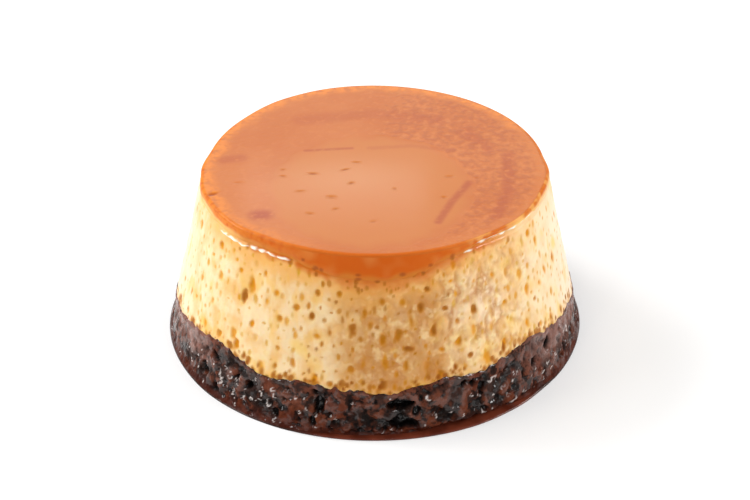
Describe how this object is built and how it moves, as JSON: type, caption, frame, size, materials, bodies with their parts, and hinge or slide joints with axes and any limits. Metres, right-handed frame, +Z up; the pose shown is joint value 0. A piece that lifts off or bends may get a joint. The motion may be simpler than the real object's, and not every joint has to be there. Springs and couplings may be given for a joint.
{
  "type": "caramel pudding",
  "caption": "Single-serving turned-out caramel custard pudding with a glossy caramel top, a pitted cream custard body and a dark craggy sponge base in a film of syrup.",
  "frame": {"origin": "under the middle of the foot, on the surface that the pudding stands on", "axes": "+Z up along the pudding's own axis, the front with the long tongue of caramel faces -Y, and +X is to the right seen from the front"},
  "size_m": [0.0921, 0.0924, 0.0392],
  "materials": {
    "sponge": "dark chocolate sponge, torn and craggy, soaked so that it shines on its lumps",
    "custard": "soft satin cream custard full of small amber bubble pits",
    "caramel": "thin glossy amber-orange caramel, wet",
    "syrup": "thin reddish-brown caramel syrup, wet"
  },
  "bodies": {
    "root": {"cake_base": "sponge", "custard": "custard", "caramel_top": "caramel", "syrup_foot": "syrup"}
  },
  "joints": []
}
